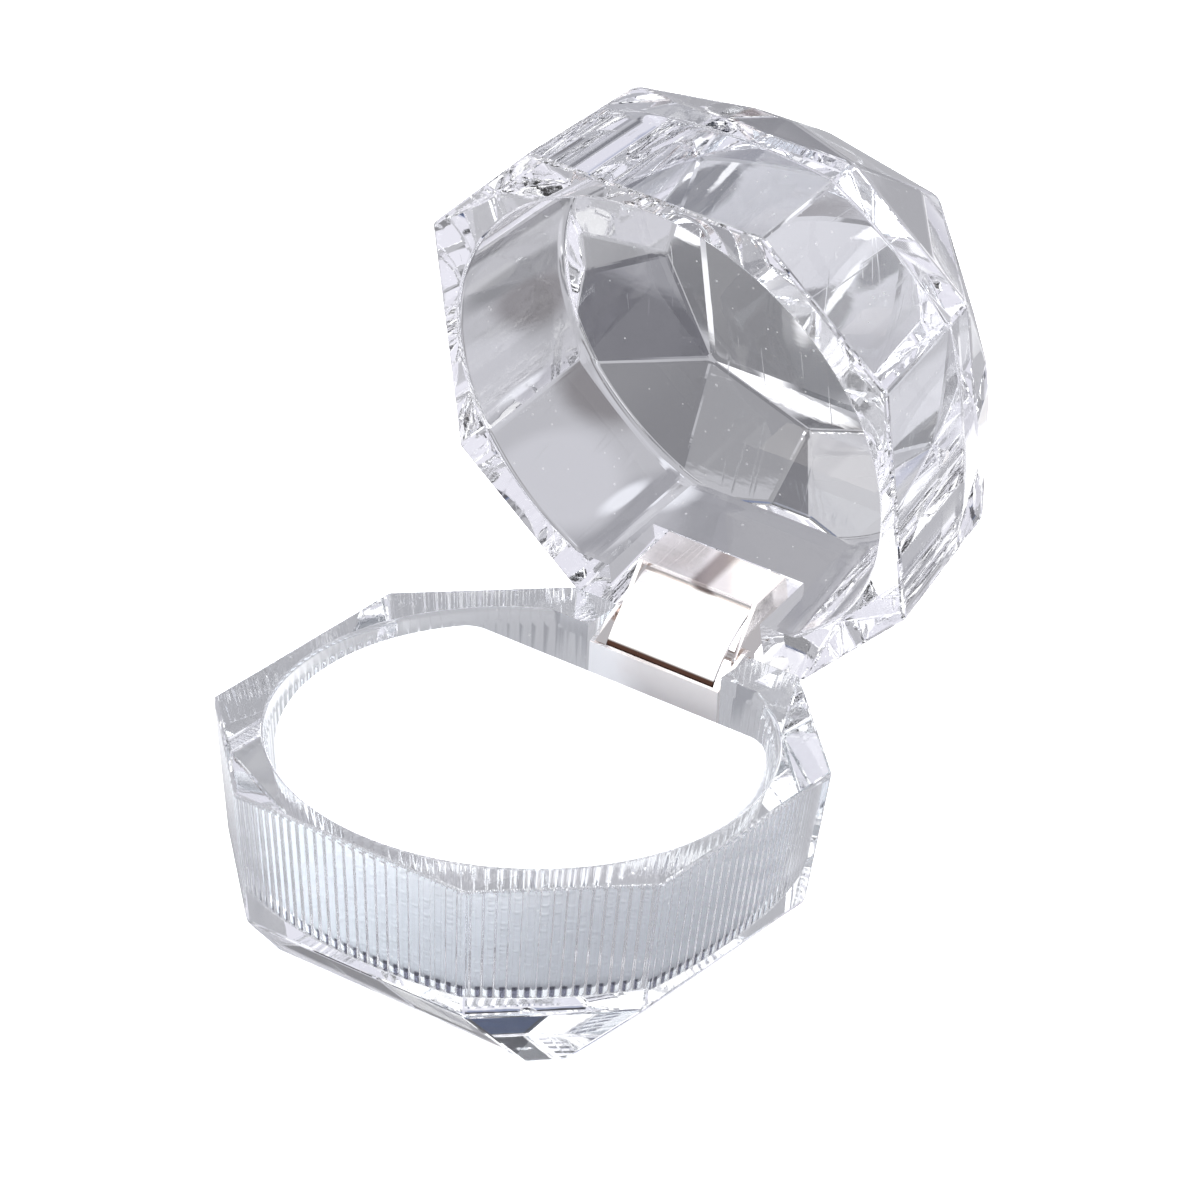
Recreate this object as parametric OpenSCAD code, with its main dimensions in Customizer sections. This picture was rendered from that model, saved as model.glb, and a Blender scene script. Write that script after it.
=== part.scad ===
// Ring display box: clear faceted box with a brilliant-cut lid, a foam ring pad
// and a sprung sheet-metal hinge let into the back walls.
// Origin at the centre of the foot, +Z up, hinge at the back (+Y), lid open.

/* [Box] */
// Half of the width across the flats at the rim
rim_half = 20; // [19:0.1:21]
// Corner cut of the rim, measured along each side
rim_corner = 9.8; // [8.6:0.1:10.6]
// Draft of the outer walls, in degrees
wall_draft = 6.5; // [5:0.1:8]
// Small chamfer along the rim's outer edge
rim_chamfer = 0.3; // [0.2:0.05:0.5]

/* [Base] */
// Height of the base's upright wall
base_wall_height = 10.9; // [10:0.1:12.5]
// Height of the bevel between the wall and the foot
base_bevel_height = 6.3; // [5:0.1:8]
// Half of the foot's width
foot_half = 12.65; // [11:0.05:14.5]
// Corner cut of the foot, measured along each side
foot_corner = 2.1; // [1:0.1:4]
// Wall left at the rim where the base's round cavity comes nearest to the outside
base_rim_wall = 1.7; // [1.5:0.05:2.2]
// Depth of the base's cavity below the rim
base_cavity_depth = 10.65; // [9:0.05:11.5]

/* [Ribs] */
// Number of fine ribs round the base's cavity
rib_count = 124; // [100:1:150]
// How far each rib stands out of the cavity wall
rib_height = 0.2; // [0.1:0.02:0.3]
// Plain band between the rim and the ribs' upper ends
rib_top_band = 0.8; // [0.4:0.1:2]
// How far that band stands back from the ribbed wall
rib_band_step = 0.1; // [0.06:0.02:0.16]

/* [Lid] */
// Height of the lid's upright wall
lid_wall_height = 12; // [11:0.1:13]
// Height of the lid's flat table above its rim
table_height = 22.5; // [21.5:0.1:24]
// Half of the square table's width
table_half = 8.9; // [8.2:0.1:9.6]
// How far the star facets' outer points lie from the lid's axis
star_reach = 11.85; // [11.4:0.05:12.3]
// How far those points lie below the table
star_drop = 0.8; // [0.6:0.05:1]
// Height of the girdle facets' lower points above the rim
girdle_height = 15.45; // [15:0.05:15.9]
// Inward lean of the facets between wall and girdle, in degrees
girdle_lean = 20.5; // [18:0.1:23]
// Wall left at the rim where the lid's round cavity comes nearest to the outside
lid_rim_wall = 1.5; // [1.4:0.05:2]
// Depth of the lid's cavity
lid_cavity_depth = 11.1; // [10:0.05:12]

/* [Cavities] */
// Inward taper of both cavities per side, from rim to floor
cavity_taper = 1; // [0.6:0.05:1.4]

/* [Pad] */
// Gap between the pad and the ribs, all round
pad_gap = 0.3; // [0.2:0.05:0.5]
// How far the pad's top lies below the rim
pad_drop = 0.5; // [0.3:0.1:2]
// Space between the pad's straight back edge and the hinge
pad_back_gap = 4.25; // [3:0.05:6]
// Radius where the straight edge meets the round one
pad_corner_radius = 2.5; // [1:0.1:4]
// Length of the slit that grips the ring
slit_length = 21; // [15:0.5:24]
// Width of that slit
slit_width = 0.35; // [0.2:0.05:1]
// Depth of that slit
slit_depth = 7; // [4:0.5:8.5]

/* [Hinge] */
// Distance of the pin's axis from the rim's back edge
pin_inset = 0.4; // [0.3:0.05:0.5]
// Distance from the pin's axis to the front of the leaves and of the flat wall beside them
web_reach = 3.6; // [3.4:0.05:3.9]
// How far the pin's axis lies below the base's rim
pin_drop = 0.4; // [0.3:0.05:0.5]
// Radius of the pin
pin_radius = 0.4; // [0.3:0.05:0.5]
// Radial clearance of the pin in the leaves
pin_clearance = 0.03; // [0.02:0.01:0.08]
// Thickness of the leaves' sheet metal
sheet = 0.35; // [0.3:0.05:0.4]
// Width of the base's leaf over its ears
base_leaf_width = 11.6; // [11:0.1:12.4]
// Height of each leaf's front web
leaf_height = 3.7; // [3:0.1:4.5]
// Distance from the pin down to the base leaf's free edge
base_leaf_edge = 0.95; // [0.8:0.05:1.2]
// Distance from the pin up to the lid leaf's free edge
lid_leaf_edge = 2.3; // [2:0.05:2.6]
// Radius of the ears' round ends
knuckle_radius = 0.9; // [0.75:0.05:1]
// Thickness of the spring plate
spring_thickness = 0.25; // [0.2:0.05:0.3]
// Rise of the spring plate's bow
spring_bow = 0.6; // [0.4:0.05:0.8]

/* [Fits] */
// Angle that the lid stands open, in degrees
open_angle = 77.5; // [60:0.5:80]
// Gap between the rims when the lid is shut
rim_gap = 0.2; // [0.15:0.05:0.4]
// Gap between hinge parts that pass side by side
side_gap = 0.15; // [0.1:0.05:0.25]
// Gap between the base leaf and the sides of its notch
notch_gap = 0.2; // [0.1:0.05:0.3]
// Room beside the hinge in the lid's wider notch
lid_notch_room = 1; // [0.6:0.1:1.4]
// Gap between each leaf's flange and the end of its notch
seat_gap = 0.1; // [0.05:0.05:0.2]
// How far the spring plate's ends lie behind the leaves' webs
tuck_gap = 0.25; // [0.2:0.05:0.35]
// How far those ends reach past the webs' free edges
tuck_depth = 0.3; // [0.2:0.05:0.4]

/* [Hidden] */
$fn = 64;
overlap = 1; // how far a cutting solid passes the face that it cuts

base_cavity_radius = rim_half - base_rim_wall; // at the rim
lid_cavity_radius = rim_half - lid_rim_wall; // at the rim
rim_z = base_wall_height + base_bevel_height;
lid_rim_z = rim_z + rim_gap;
cavity_floor_z = rim_z - base_cavity_depth;
base_core_slope = cavity_taper / base_cavity_depth;
pin_reach = rim_half - pin_inset;              // from the centre to the pin
pin_z = rim_z - pin_drop;
hinge_wall_reach = pin_reach - web_reach;      // flat wall inside both shells
pad_back_reach = hinge_wall_reach - pad_back_gap;
flange_depth = web_reach - knuckle_radius;     // from that front to the ears' back
lid_leaf_width = base_leaf_width - 2 * (sheet + side_gap);
spring_width = lid_leaf_width - 2 * (sheet + side_gap);
base_notch_width = base_leaf_width + 2 * notch_gap;
lid_notch_width = base_leaf_width + 2 * lid_notch_room;

// Outlines

// Square with cut corners, anticlockwise from above.
function cut_square(half, corner, z) =
    [for (k = [0:3], side = [-1, 1])
        let (p = [half, side * (half - corner)])
        [p.x * cos(90 * k) - p.y * sin(90 * k), p.x * sin(90 * k) + p.y * cos(90 * k), z]];

// The rim's outline moved inwards by inset, every side by the same distance.
function wall_ring(inset, z) =
    cut_square(rim_half - inset, rim_corner - inset * (2 - sqrt(2)), z);

function draft(height) = height * tan(wall_draft);

// Outline of the ribbed core: round, with one shallow notch for each rib.
function ribbed_circle(radius) =
    [for (k = [0:rib_count - 1], step = [[0.06, 0], [0.50, 0], [0.64, 0.8], [0.78, 1], [0.92, 0.8]])
        let (a = 360 * (k + step[0]) / rib_count, r = radius - rib_height * step[1])
        [r * cos(a), r * sin(a)]];

// Point where the tangent from p touches a circle of radius r about the origin.
function tangent_point(p, r, side) =
    let (a = atan2(p.y, p.x) + side * acos(r / norm(p)))
    r * [cos(a), sin(a)];

function turned(p, angle) =
    [p.x * cos(angle) - p.y * sin(angle), p.x * sin(angle) + p.y * cos(angle)];

// Helpers

// Solid through rings of equal point counts, from the lowest to the highest.
module loft(rings) {
    n = len(rings[0]);
    last = (len(rings) - 1) * n;
    polyhedron(
        points = [for (ring = rings) each ring],
        faces = concat(
            [[for (i = [0:n - 1]) i]],
            [for (k = [0:len(rings) - 2], i = [0:n - 1])
                let (j = (i + 1) % n)
                [k * n + i, (k + 1) * n + i, (k + 1) * n + j, k * n + j]],
            [[for (i = [n - 1:-1:0]) last + i]]));
}

// Everything in front of the flat hinge wall.
module ahead_of_hinge_wall() {
    translate([-rim_half, -rim_half, -overlap])
        cube([2 * rim_half, rim_half + hinge_wall_reach, rim_z + table_height]);
}

// Turns what is drawn on the shut box into the open lid's place.
module lid_open() {
    translate([0, pin_reach, pin_z])
        rotate([-open_angle, 0, 0])
            translate([0, -pin_reach, -pin_z])
                children();
}

// A profile drawn in Y and Z about the pin, made width wide about X = 0.
module across(width) {
    translate([-width / 2, pin_reach, pin_z])
        rotate([90, 0, 90])
            linear_extrude(width)
                children();
}

// Base

module base_body() {
    wall_low = draft(base_wall_height);
    loft([
        cut_square(foot_half, foot_corner, 0),
        wall_ring(wall_low, base_bevel_height),
        wall_ring(draft(rim_chamfer), rim_z - rim_chamfer),
        wall_ring(rim_chamfer, rim_z)]);
}

// Ribbed below, plain in the band under the rim, flat at the hinge.
module base_core() {
    floor_radius = base_cavity_radius - cavity_taper;
    band_radius = base_cavity_radius - rib_top_band * base_core_slope;
    intersection() {
        translate([0, 0, cavity_floor_z]) {
            linear_extrude(base_cavity_depth - rib_top_band, scale = band_radius / floor_radius)
                polygon(ribbed_circle(floor_radius));
            translate([0, 0, base_cavity_depth - rib_top_band])
                cylinder(h = rib_top_band + overlap, r1 = band_radius + rib_band_step,
                         r2 = base_cavity_radius + rib_band_step + overlap * base_core_slope,
                         $fn = 96);
        }
        ahead_of_hinge_wall();
    }
}

module base_shell() {
    notch_depth = pin_drop + base_leaf_edge + leaf_height + seat_gap;
    color([0.82, 0.87, 0.92, 0.45])
        difference() {
            base_body();
            base_core();
            translate([-base_notch_width / 2, hinge_wall_reach - overlap, rim_z - notch_depth])
                cube([base_notch_width, rim_half - hinge_wall_reach + 2 * overlap,
                      notch_depth + overlap]);
        }
}

// Foam disc, tapered like the cavity, with a straight back edge and a slit.
module foam_pad() {
    bottom_radius = base_cavity_radius - cavity_taper - rib_height - pad_gap;
    height = base_cavity_depth - pad_drop - seat_gap;
    top_radius = bottom_radius + height * base_core_slope;
    color([0.97, 0.97, 0.96])
        translate([0, 0, cavity_floor_z + seat_gap])
            difference() {
                linear_extrude(height, scale = top_radius / bottom_radius)
                    offset(r = pad_corner_radius, $fn = 48)
                        offset(delta = -pad_corner_radius)
                            intersection() {
                                circle(bottom_radius, $fn = 120);
                                translate([-rim_half, -rim_half])
                                    square([2 * rim_half,
                                            rim_half + pad_back_reach * bottom_radius / top_radius]);
                            }
                translate([-slit_length / 2, -slit_width / 2, height - slit_depth])
                    cube([slit_length, slit_width, slit_depth + overlap]);
            }
}

// Lid

// Outer point of the facet between wall and girdle, on side 0 (towards +X):
// it lies in the plane through the table corner, the star point and the wall corner.
function girdle_point(wall_corner, star, table) =
    let (n = cross(star - wall_corner, table - wall_corner),
         x = wall_corner.x - (girdle_height - lid_wall_height) * tan(girdle_lean),
         z = girdle_height)
    [x, (n * wall_corner - n.x * x - n.z * z) / n.y, z];

function quarter_turn(p, k) =
    [p.x * cos(90 * k) - p.y * sin(90 * k), p.x * sin(90 * k) + p.y * cos(90 * k), p.z];

// Brilliant-cut crown on the wall's upper ring, heights counted from the rim.
module crown() {
    wall_corner = wall_ring(draft(lid_wall_height), lid_wall_height)[1];
    star = [star_reach, 0, table_height - star_drop];
    table = [table_half, table_half, table_height];
    girdle = girdle_point(wall_corner, star, table);
    one_side = [
        [wall_corner.x, -wall_corner.y, wall_corner.z],
        wall_corner,
        [girdle.x, -girdle.y, girdle.z],
        girdle,
        star,
        table];
    n = len(one_side);
    polyhedron(
        points = [for (k = [0:3], p = one_side) quarter_turn(p, k)],
        faces = concat(
            [[for (k = [0:3]) each [k * n, k * n + 1]]],
            [for (k = [0:3])
                let (s = k * n, next = ((k + 1) % 4) * n, previous = ((k + 3) % 4) * n)
                each [
                    [s, s + 2, s + 3, s + 1],
                    [s + 2, s + 4, s + 3],
                    [s + 1, s + 3, s + 4, s + 5],
                    [s, previous + 5, s + 4, s + 2],
                    [s + 4, previous + 5, s + 5],
                    [s + 1, s + 5, next]]],
            [[for (k = [3:-1:0]) k * n + 5]]));
}

module lid_body() {
    loft([
        wall_ring(rim_chamfer, 0),
        wall_ring(draft(rim_chamfer), rim_chamfer),
        wall_ring(draft(lid_wall_height), lid_wall_height)]);
    crown();
}

module lid_shell() {
    notch_depth = lid_leaf_edge + leaf_height + seat_gap - pin_drop - rim_gap;
    slope = cavity_taper / lid_cavity_depth;
    color([0.84, 0.87, 0.92, 0.35])
        lid_open()
            difference() {
                translate([0, 0, lid_rim_z])
                    lid_body();
                intersection() {
                    translate([0, 0, lid_rim_z - overlap])
                        cylinder(h = lid_cavity_depth + overlap,
                                 r1 = lid_cavity_radius + overlap * slope,
                                 r2 = lid_cavity_radius - cavity_taper, $fn = 96);
                    ahead_of_hinge_wall();
                }
                translate([-lid_notch_width / 2, hinge_wall_reach - overlap, lid_rim_z - overlap])
                    cube([lid_notch_width, rim_half - hinge_wall_reach + 2 * overlap,
                          notch_depth + overlap]);
            }
}

// Hinge

// Side view of an ear, about the pin, with the web's free edge at edge.
module ear_profile(edge) {
    front_low = [-web_reach, edge];
    back_high = [flange_depth - web_reach, edge + leaf_height];
    difference() {
        union() {
            polygon([
                front_low,
                tangent_point(front_low, knuckle_radius, 1),
                tangent_point(back_high, knuckle_radius, -1),
                back_high,
                [-web_reach, edge + leaf_height]]);
            circle(knuckle_radius);
        }
        circle(pin_radius + pin_clearance);
    }
}

// Sheet-metal channel: front web, flange at its far edge, an ear at each side.
module leaf(width, edge) {
    across(width) {
        translate([-web_reach, edge])
            square([sheet, leaf_height]);
        translate([-web_reach, edge + leaf_height - sheet])
            square([flange_depth, sheet]);
    }
    for (side = [-1, 1])
        translate([side * (width - sheet) / 2, 0, 0])
            across(sheet)
                ear_profile(edge);
}

module hinge_lid_leaf() {
    color([0.80, 0.78, 0.76])
        lid_open()
            leaf(lid_leaf_width, lid_leaf_edge);
}

module hinge_base_leaf() {
    color([0.78, 0.77, 0.75])
        translate([0, 0, pin_z])
            mirror([0, 0, 1])
                translate([0, 0, -pin_z])
                    leaf(base_leaf_width, base_leaf_edge);
}

module hinge_pin() {
    color([0.7, 0.7, 0.7])
        across(base_leaf_width)
            circle(pin_radius);
}

// Bowed spring plate: its ends lie behind both webs, its bow faces the box.
module hinge_spring() {
    behind = web_reach - sheet - tuck_gap;
    base_end = [-behind, -base_leaf_edge - tuck_depth];
    lid_end = turned([-behind, lid_leaf_edge + tuck_depth], -open_angle);
    chord = lid_end - base_end;
    half_chord = norm(chord) / 2;
    bow_radius = (half_chord * half_chord + spring_bow * spring_bow) / (2 * spring_bow);
    half_angle = asin(half_chord / bow_radius);
    wedge = 2 * bow_radius;
    color([0.88, 0.87, 0.86])
        across(spring_width)
            translate((base_end + lid_end) / 2)
                rotate(atan2(chord.y, chord.x))
                    translate([0, spring_bow - bow_radius])
                        intersection() {
                            difference() {
                                circle(bow_radius, $fn = 128);
                                circle(bow_radius - spring_thickness, $fn = 128);
                            }
                            polygon([
                                [0, 0],
                                [wedge * sin(half_angle), wedge * cos(half_angle)],
                                [-wedge * sin(half_angle), wedge * cos(half_angle)]]);
                        }
}

base_shell();
foam_pad();
hinge_base_leaf();
hinge_pin();
hinge_spring();
lid_shell();
hinge_lid_leaf();
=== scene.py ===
# Ring display box: clear ribbed base with a foam pad, brilliant-cut lid, sprung metal hinge.
import math

import bmesh
import bpy
from mathutils import Matrix, Vector


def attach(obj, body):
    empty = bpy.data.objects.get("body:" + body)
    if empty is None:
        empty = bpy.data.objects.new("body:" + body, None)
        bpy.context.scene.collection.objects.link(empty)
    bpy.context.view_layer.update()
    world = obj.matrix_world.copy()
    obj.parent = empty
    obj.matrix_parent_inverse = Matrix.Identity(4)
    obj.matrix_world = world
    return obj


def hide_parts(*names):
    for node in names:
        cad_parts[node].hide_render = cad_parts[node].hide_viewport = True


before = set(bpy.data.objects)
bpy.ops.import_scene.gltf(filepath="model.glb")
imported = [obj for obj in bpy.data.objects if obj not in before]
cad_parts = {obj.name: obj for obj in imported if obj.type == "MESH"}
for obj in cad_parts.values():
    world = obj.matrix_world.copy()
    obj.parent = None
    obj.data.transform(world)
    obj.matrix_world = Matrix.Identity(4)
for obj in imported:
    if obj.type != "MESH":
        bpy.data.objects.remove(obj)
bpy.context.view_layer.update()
mm = 0.001

# what both shells share, in millimetres and degrees
box = {
    "rimHalf": 20.0,
    "rimCorner": 9.8,
    "wallDraft": 6.5,
    "rimHeight": 17.2,
    "rimGap": 0.2,
    "hingeWall": 16.0,
    "openAngle": 77.5,
    "pinReach": 19.6,
    "pinDrop": 0.4,
    "cavityTaper": 1.0,
    "fillet": 0.5,
    "rimRound": 0.3,
    "edgeSegments": 3,
    "edgeAngle": 8,
}


def draft(height):
    return height * math.tan(math.radians(box["wallDraft"]))


def cutSquare(half, corner, height):
    points = []
    for k in range(4):
        for side in (-1, 1):
            x, y = half, side * (half - corner)
            for _ in range(k):
                x, y = -y, x
            points.append((x, y, height))
    return points


def wallRing(inset, height):
    corner = box["rimCorner"] - inset * (2 - math.sqrt(2))
    return cutSquare(box["rimHalf"] - inset, corner, height)


def newPiece(name, mesh):
    piece = bpy.data.objects.new(name, mesh)
    bpy.context.scene.collection.objects.link(piece)
    return piece


def cleaned(mesh, smooth):
    # doubles merged, flat slivers dissolved, faces outwards
    bm = bmesh.new()
    bm.from_mesh(mesh)
    bmesh.ops.remove_doubles(bm, verts=bm.verts, dist=1e-7)
    bmesh.ops.dissolve_degenerate(bm, edges=bm.edges, dist=1e-7)
    bmesh.ops.recalc_face_normals(bm, faces=bm.faces)
    for face in bm.faces:
        face.smooth = smooth
    bm.to_mesh(mesh)
    bm.free()
    return mesh


def meshFrom(name, points, faces, smooth=False):
    mesh = bpy.data.meshes.new(name)
    mesh.from_pydata([[c * mm for c in p] for p in points], [], faces)
    return cleaned(mesh, smooth)


def applyModifiers(piece):
    graph = bpy.context.evaluated_depsgraph_get()
    mesh = bpy.data.meshes.new_from_object(piece.evaluated_get(graph))
    piece.modifiers.clear()
    piece.data = mesh
    return piece


def addBevel(piece, width, segments, angle):
    bevel = piece.modifiers.new("rounding", "BEVEL")
    bevel.width = width * mm
    bevel.segments = segments
    bevel.limit_method = "ANGLE"
    bevel.angle_limit = math.radians(angle)


def cutAway(piece, cutters):
    for cutter in cutters:
        cut = piece.modifiers.new("cut", "BOOLEAN")
        cut.operation = "DIFFERENCE"
        cut.solver = "EXACT"
        cut.object = cutter
    applyModifiers(piece)
    for cutter in cutters:
        bpy.data.objects.remove(cutter)
    return piece


def flattened(piece, square=0.9995):
    # the cavity's floor and hinge wall are shaded flat, its round parts stay smooth
    for face in piece.data.polygons:
        if max(abs(face.normal.z), abs(face.normal.y)) > square:
            face.use_smooth = False
    return piece


def block(name, low, high):
    (x0, y0, z0), (x1, y1, z1) = low, high
    points = [(x, y, z) for z in (z0, z1) for y in (y0, y1) for x in (x0, x1)]
    faces = [(0, 2, 3, 1), (4, 5, 7, 6), (0, 1, 5, 4), (2, 6, 7, 3), (0, 4, 6, 2), (1, 3, 7, 5)]
    return newPiece(name, meshFrom(name, points, faces))


def loftPoints(rings):
    n = len(rings[0])
    points = [p for ring in rings for p in ring]
    faces = [tuple(range(n - 1, -1, -1))]
    for k in range(len(rings) - 1):
        for i in range(n):
            j = (i + 1) % n
            faces.append((k * n + i, k * n + j, (k + 1) * n + j, (k + 1) * n + i))
    faces.append(tuple((len(rings) - 1) * n + i for i in range(n)))
    return points, faces


def openLid(piece):
    pin = Vector((0, box["pinReach"] * mm, (box["rimHeight"] - box["pinDrop"]) * mm))
    turn = Matrix.Rotation(math.radians(-box["openAngle"]), 4, "X")
    piece.data.transform(Matrix.Translation(pin) @ turn @ Matrix.Translation(-pin))
    return piece


# Node helpers for the shape tree and the shaders.
def plug(tree, value, socket):
    # a plain number is set, an output is linked
    if isinstance(value, (int, float)):
        socket.default_value = value
    else:
        tree.links.new(value, socket)


def mathNode(tree, operation, a, b=0.0, c=0.0):
    node = tree.nodes.new("ShaderNodeMath")
    node.operation = operation
    for socket, value in zip(node.inputs, (a, b, c)):
        plug(tree, value, socket)
    return node.outputs[0]


def product(tree, *factors):
    result = factors[0]
    for factor in factors[1:]:
        result = mathNode(tree, "MULTIPLY", result, factor)
    return result


def distanceFrom(tree, value, middle):
    return mathNode(tree, "ABSOLUTE", mathNode(tree, "SUBTRACT", value, middle))


def softStep(tree, value, low, high):
    node = tree.nodes.new("ShaderNodeMapRange")
    node.interpolation_type = "SMOOTHSTEP"
    for label, number in (("Value", value), ("From Min", low), ("From Max", high)):
        plug(tree, number, node.inputs[label])
    return node.outputs["Result"]


def axesOf(tree, where):
    split = tree.nodes.new("ShaderNodeSeparateXYZ")
    tree.links.new(where, split.inputs[0])
    return split.outputs


def addSockets(tree, direction, sockets):
    for label, kind, *value in sockets:
        socket = tree.interface.new_socket(label, in_out=direction, socket_type=kind)
        if value:
            socket.default_value = value[0]


# Geometry Nodes: a round core turned from a profile line, its side pressed in by fine ribs.
coreInputs = [
    ("Profile", "NodeSocketGeometry"),
    ("Ribs", "NodeSocketInt"),
    ("Steps per Rib", "NodeSocketInt"),
    ("Rib Height", "NodeSocketFloat"),
    ("Rib Bottom", "NodeSocketFloat"),
    ("Rib Top", "NodeSocketFloat"),
    ("Rib Fade", "NodeSocketFloat"),
    ("Flat Wall Reach", "NodeSocketFloat"),
    ("Material", "NodeSocketMaterial"),
]

# one rib over its share of the circle: where the ridge starts, its width, its roundness
ribShape = {
    "start": 0.1,
    "width": 0.8,
    "power": 0.8,
}


def buildCoreTree():
    tree = bpy.data.node_groups.new("turnedCore", "GeometryNodeTree")
    addSockets(tree, "INPUT", coreInputs)
    addSockets(tree, "OUTPUT", [("Core", "NodeSocketGeometry")])
    start = tree.nodes.new("NodeGroupInput")
    end = tree.nodes.new("NodeGroupOutput")
    link = tree.links.new

    def calc(operation, *values):
        return mathNode(tree, operation, *values)

    # a grid with one row for each point of the profile and one column for each step round it
    rows = tree.nodes.new("GeometryNodeAttributeDomainSize")
    link(start.outputs["Profile"], rows.inputs["Geometry"])
    around = calc("MULTIPLY", start.outputs["Ribs"], start.outputs["Steps per Rib"])
    columns = calc("ADD", around, 1.0)
    grid = tree.nodes.new("GeometryNodeMeshGrid")
    link(rows.outputs["Point Count"], grid.inputs["Vertices X"])
    link(columns, grid.inputs["Vertices Y"])
    index = tree.nodes.new("GeometryNodeInputIndex").outputs[0]
    # the small additions keep a whole number from being rounded down a step
    row = calc("FLOOR", calc("DIVIDE", calc("ADD", index, 0.5), columns))
    column = calc("SUBTRACT", index, calc("MULTIPLY", row, columns))
    position = tree.nodes.new("GeometryNodeInputPosition").outputs[0]
    sample = tree.nodes.new("GeometryNodeSampleIndex")
    sample.data_type = "FLOAT_VECTOR"
    link(start.outputs["Profile"], sample.inputs["Geometry"])
    link(position, sample.inputs["Value"])
    link(row, sample.inputs["Index"])
    radius, _, height = axesOf(tree, sample.outputs["Value"])

    share = calc("DIVIDE", calc("ADD", column, 0.001), start.outputs["Steps per Rib"])
    phase = calc("FRACT", share)
    across = calc("DIVIDE", calc("SUBTRACT", phase, ribShape["start"]), ribShape["width"])
    arch = calc("SINE", calc("MULTIPLY", across, math.pi))
    ridge = calc("POWER", calc("MAXIMUM", arch, 0.0), ribShape["power"])
    bottom, top, fade = (start.outputs[label] for label in ("Rib Bottom", "Rib Top", "Rib Fade"))
    rise = softStep(tree, height, bottom, calc("ADD", bottom, fade))
    fall = softStep(tree, height, top, calc("SUBTRACT", top, fade))
    press = product(tree, ridge, start.outputs["Rib Height"], rise, fall)
    reach = calc("MAXIMUM", calc("SUBTRACT", radius, press), 0.0)
    angle = calc("MULTIPLY", calc("DIVIDE", column, around), 2 * math.pi)
    place = tree.nodes.new("ShaderNodeCombineXYZ")
    link(calc("MULTIPLY", reach, calc("COSINE", angle)), place.inputs["X"])
    sideways = calc("MULTIPLY", reach, calc("SINE", angle))
    link(calc("MINIMUM", sideways, start.outputs["Flat Wall Reach"]), place.inputs["Y"])
    link(height, place.inputs["Z"])

    move = tree.nodes.new("GeometryNodeSetPosition")
    link(grid.outputs["Mesh"], move.inputs["Geometry"])
    link(place.outputs[0], move.inputs["Position"])
    merge = tree.nodes.new("GeometryNodeMergeByDistance")
    merge.inputs["Distance"].default_value = 1e-6
    realize = tree.nodes.new("GeometryNodeRealizeInstances")
    paint = tree.nodes.new("GeometryNodeSetMaterial")
    link(move.outputs[0], merge.inputs["Geometry"])
    link(merge.outputs[0], realize.inputs["Geometry"])
    link(realize.outputs[0], paint.inputs["Geometry"])
    link(start.outputs["Material"], paint.inputs["Material"])
    link(paint.outputs[0], end.inputs["Core"])
    return tree


coreTree = buildCoreTree()


def turnedCore(name, profile, material, ribs, steps, ribHeight, ribBottom, ribTop, ribFade):
    # profile: (radius, height) pairs in millimetres, from one end of the axis to the other
    mesh = bpy.data.meshes.new(name)
    points = [(r * mm, 0, z * mm) for r, z in profile]
    mesh.from_pydata(points, [(i, i + 1) for i in range(len(points) - 1)], [])
    piece = newPiece(name, mesh)
    values = {
        "Ribs": ribs,
        "Steps per Rib": steps,
        "Rib Height": ribHeight * mm,
        "Rib Bottom": ribBottom * mm,
        "Rib Top": ribTop * mm,
        "Rib Fade": ribFade * mm,
        "Flat Wall Reach": box["hingeWall"] * mm,
        "Material": material,
    }
    modifier = piece.modifiers.new("turned", "NODES")
    modifier.node_group = coreTree
    for item in coreTree.interface.items_tree:
        if item.in_out == "INPUT" and item.name in values:
            modifier[item.identifier] = values[item.name]
    applyModifiers(piece)
    cleaned(piece.data, smooth=True)
    return piece


# Shader node groups for what several finishes share.
def newGroup(name, inputs, output):
    group = bpy.data.node_groups.new(name, "ShaderNodeTree")
    addSockets(group, "INPUT", [("Vector", "NodeSocketVector")])
    addSockets(group, "INPUT", [(label, "NodeSocketFloat", value) for label, value in inputs])
    addSockets(group, "OUTPUT", [(output, "NodeSocketFloat")])
    start = group.nodes.new("NodeGroupInput")
    end = group.nodes.new("NodeGroupOutput")
    return group, start, end


def noiseNode(tree, where, scale, detail):
    node = tree.nodes.new("ShaderNodeTexNoise")
    node.inputs["Detail"].default_value = detail
    tree.links.new(where, node.inputs["Vector"])
    plug(tree, scale, node.inputs["Scale"])
    return node.outputs["Fac"]


def stretched(tree, where, scale, turn=(0, 0, 0)):
    node = tree.nodes.new("ShaderNodeMapping")
    node.inputs["Scale"].default_value = scale
    node.inputs["Rotation"].default_value = [math.radians(t) for t in turn]
    tree.links.new(where, node.inputs["Vector"])
    return node.outputs[0]


# stretch along each axis, turn in degrees, scale
flowLines = {
    "stretch": (1.0, 0.35, 2.2),
    "turn": (20, 0, 35),
    "scale": 420.0,
}


def buildMouldWaves():
    # slow sink and flow marks of a thick moulding, as a height
    tree, start, end = newGroup(
        "mouldWaves", [("Wave Scale", 140.0), ("Flow Share", 0.3)], "Height")
    slow = noiseNode(tree, start.outputs["Vector"], start.outputs["Wave Scale"], 1.0)
    along = stretched(tree, start.outputs["Vector"], flowLines["stretch"], flowLines["turn"])
    flow = noiseNode(tree, along, flowLines["scale"], 2.0)
    both = mathNode(tree, "MULTIPLY_ADD", flow, start.outputs["Flow Share"], slow)
    tree.links.new(both, end.inputs["Height"])
    return tree


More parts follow.
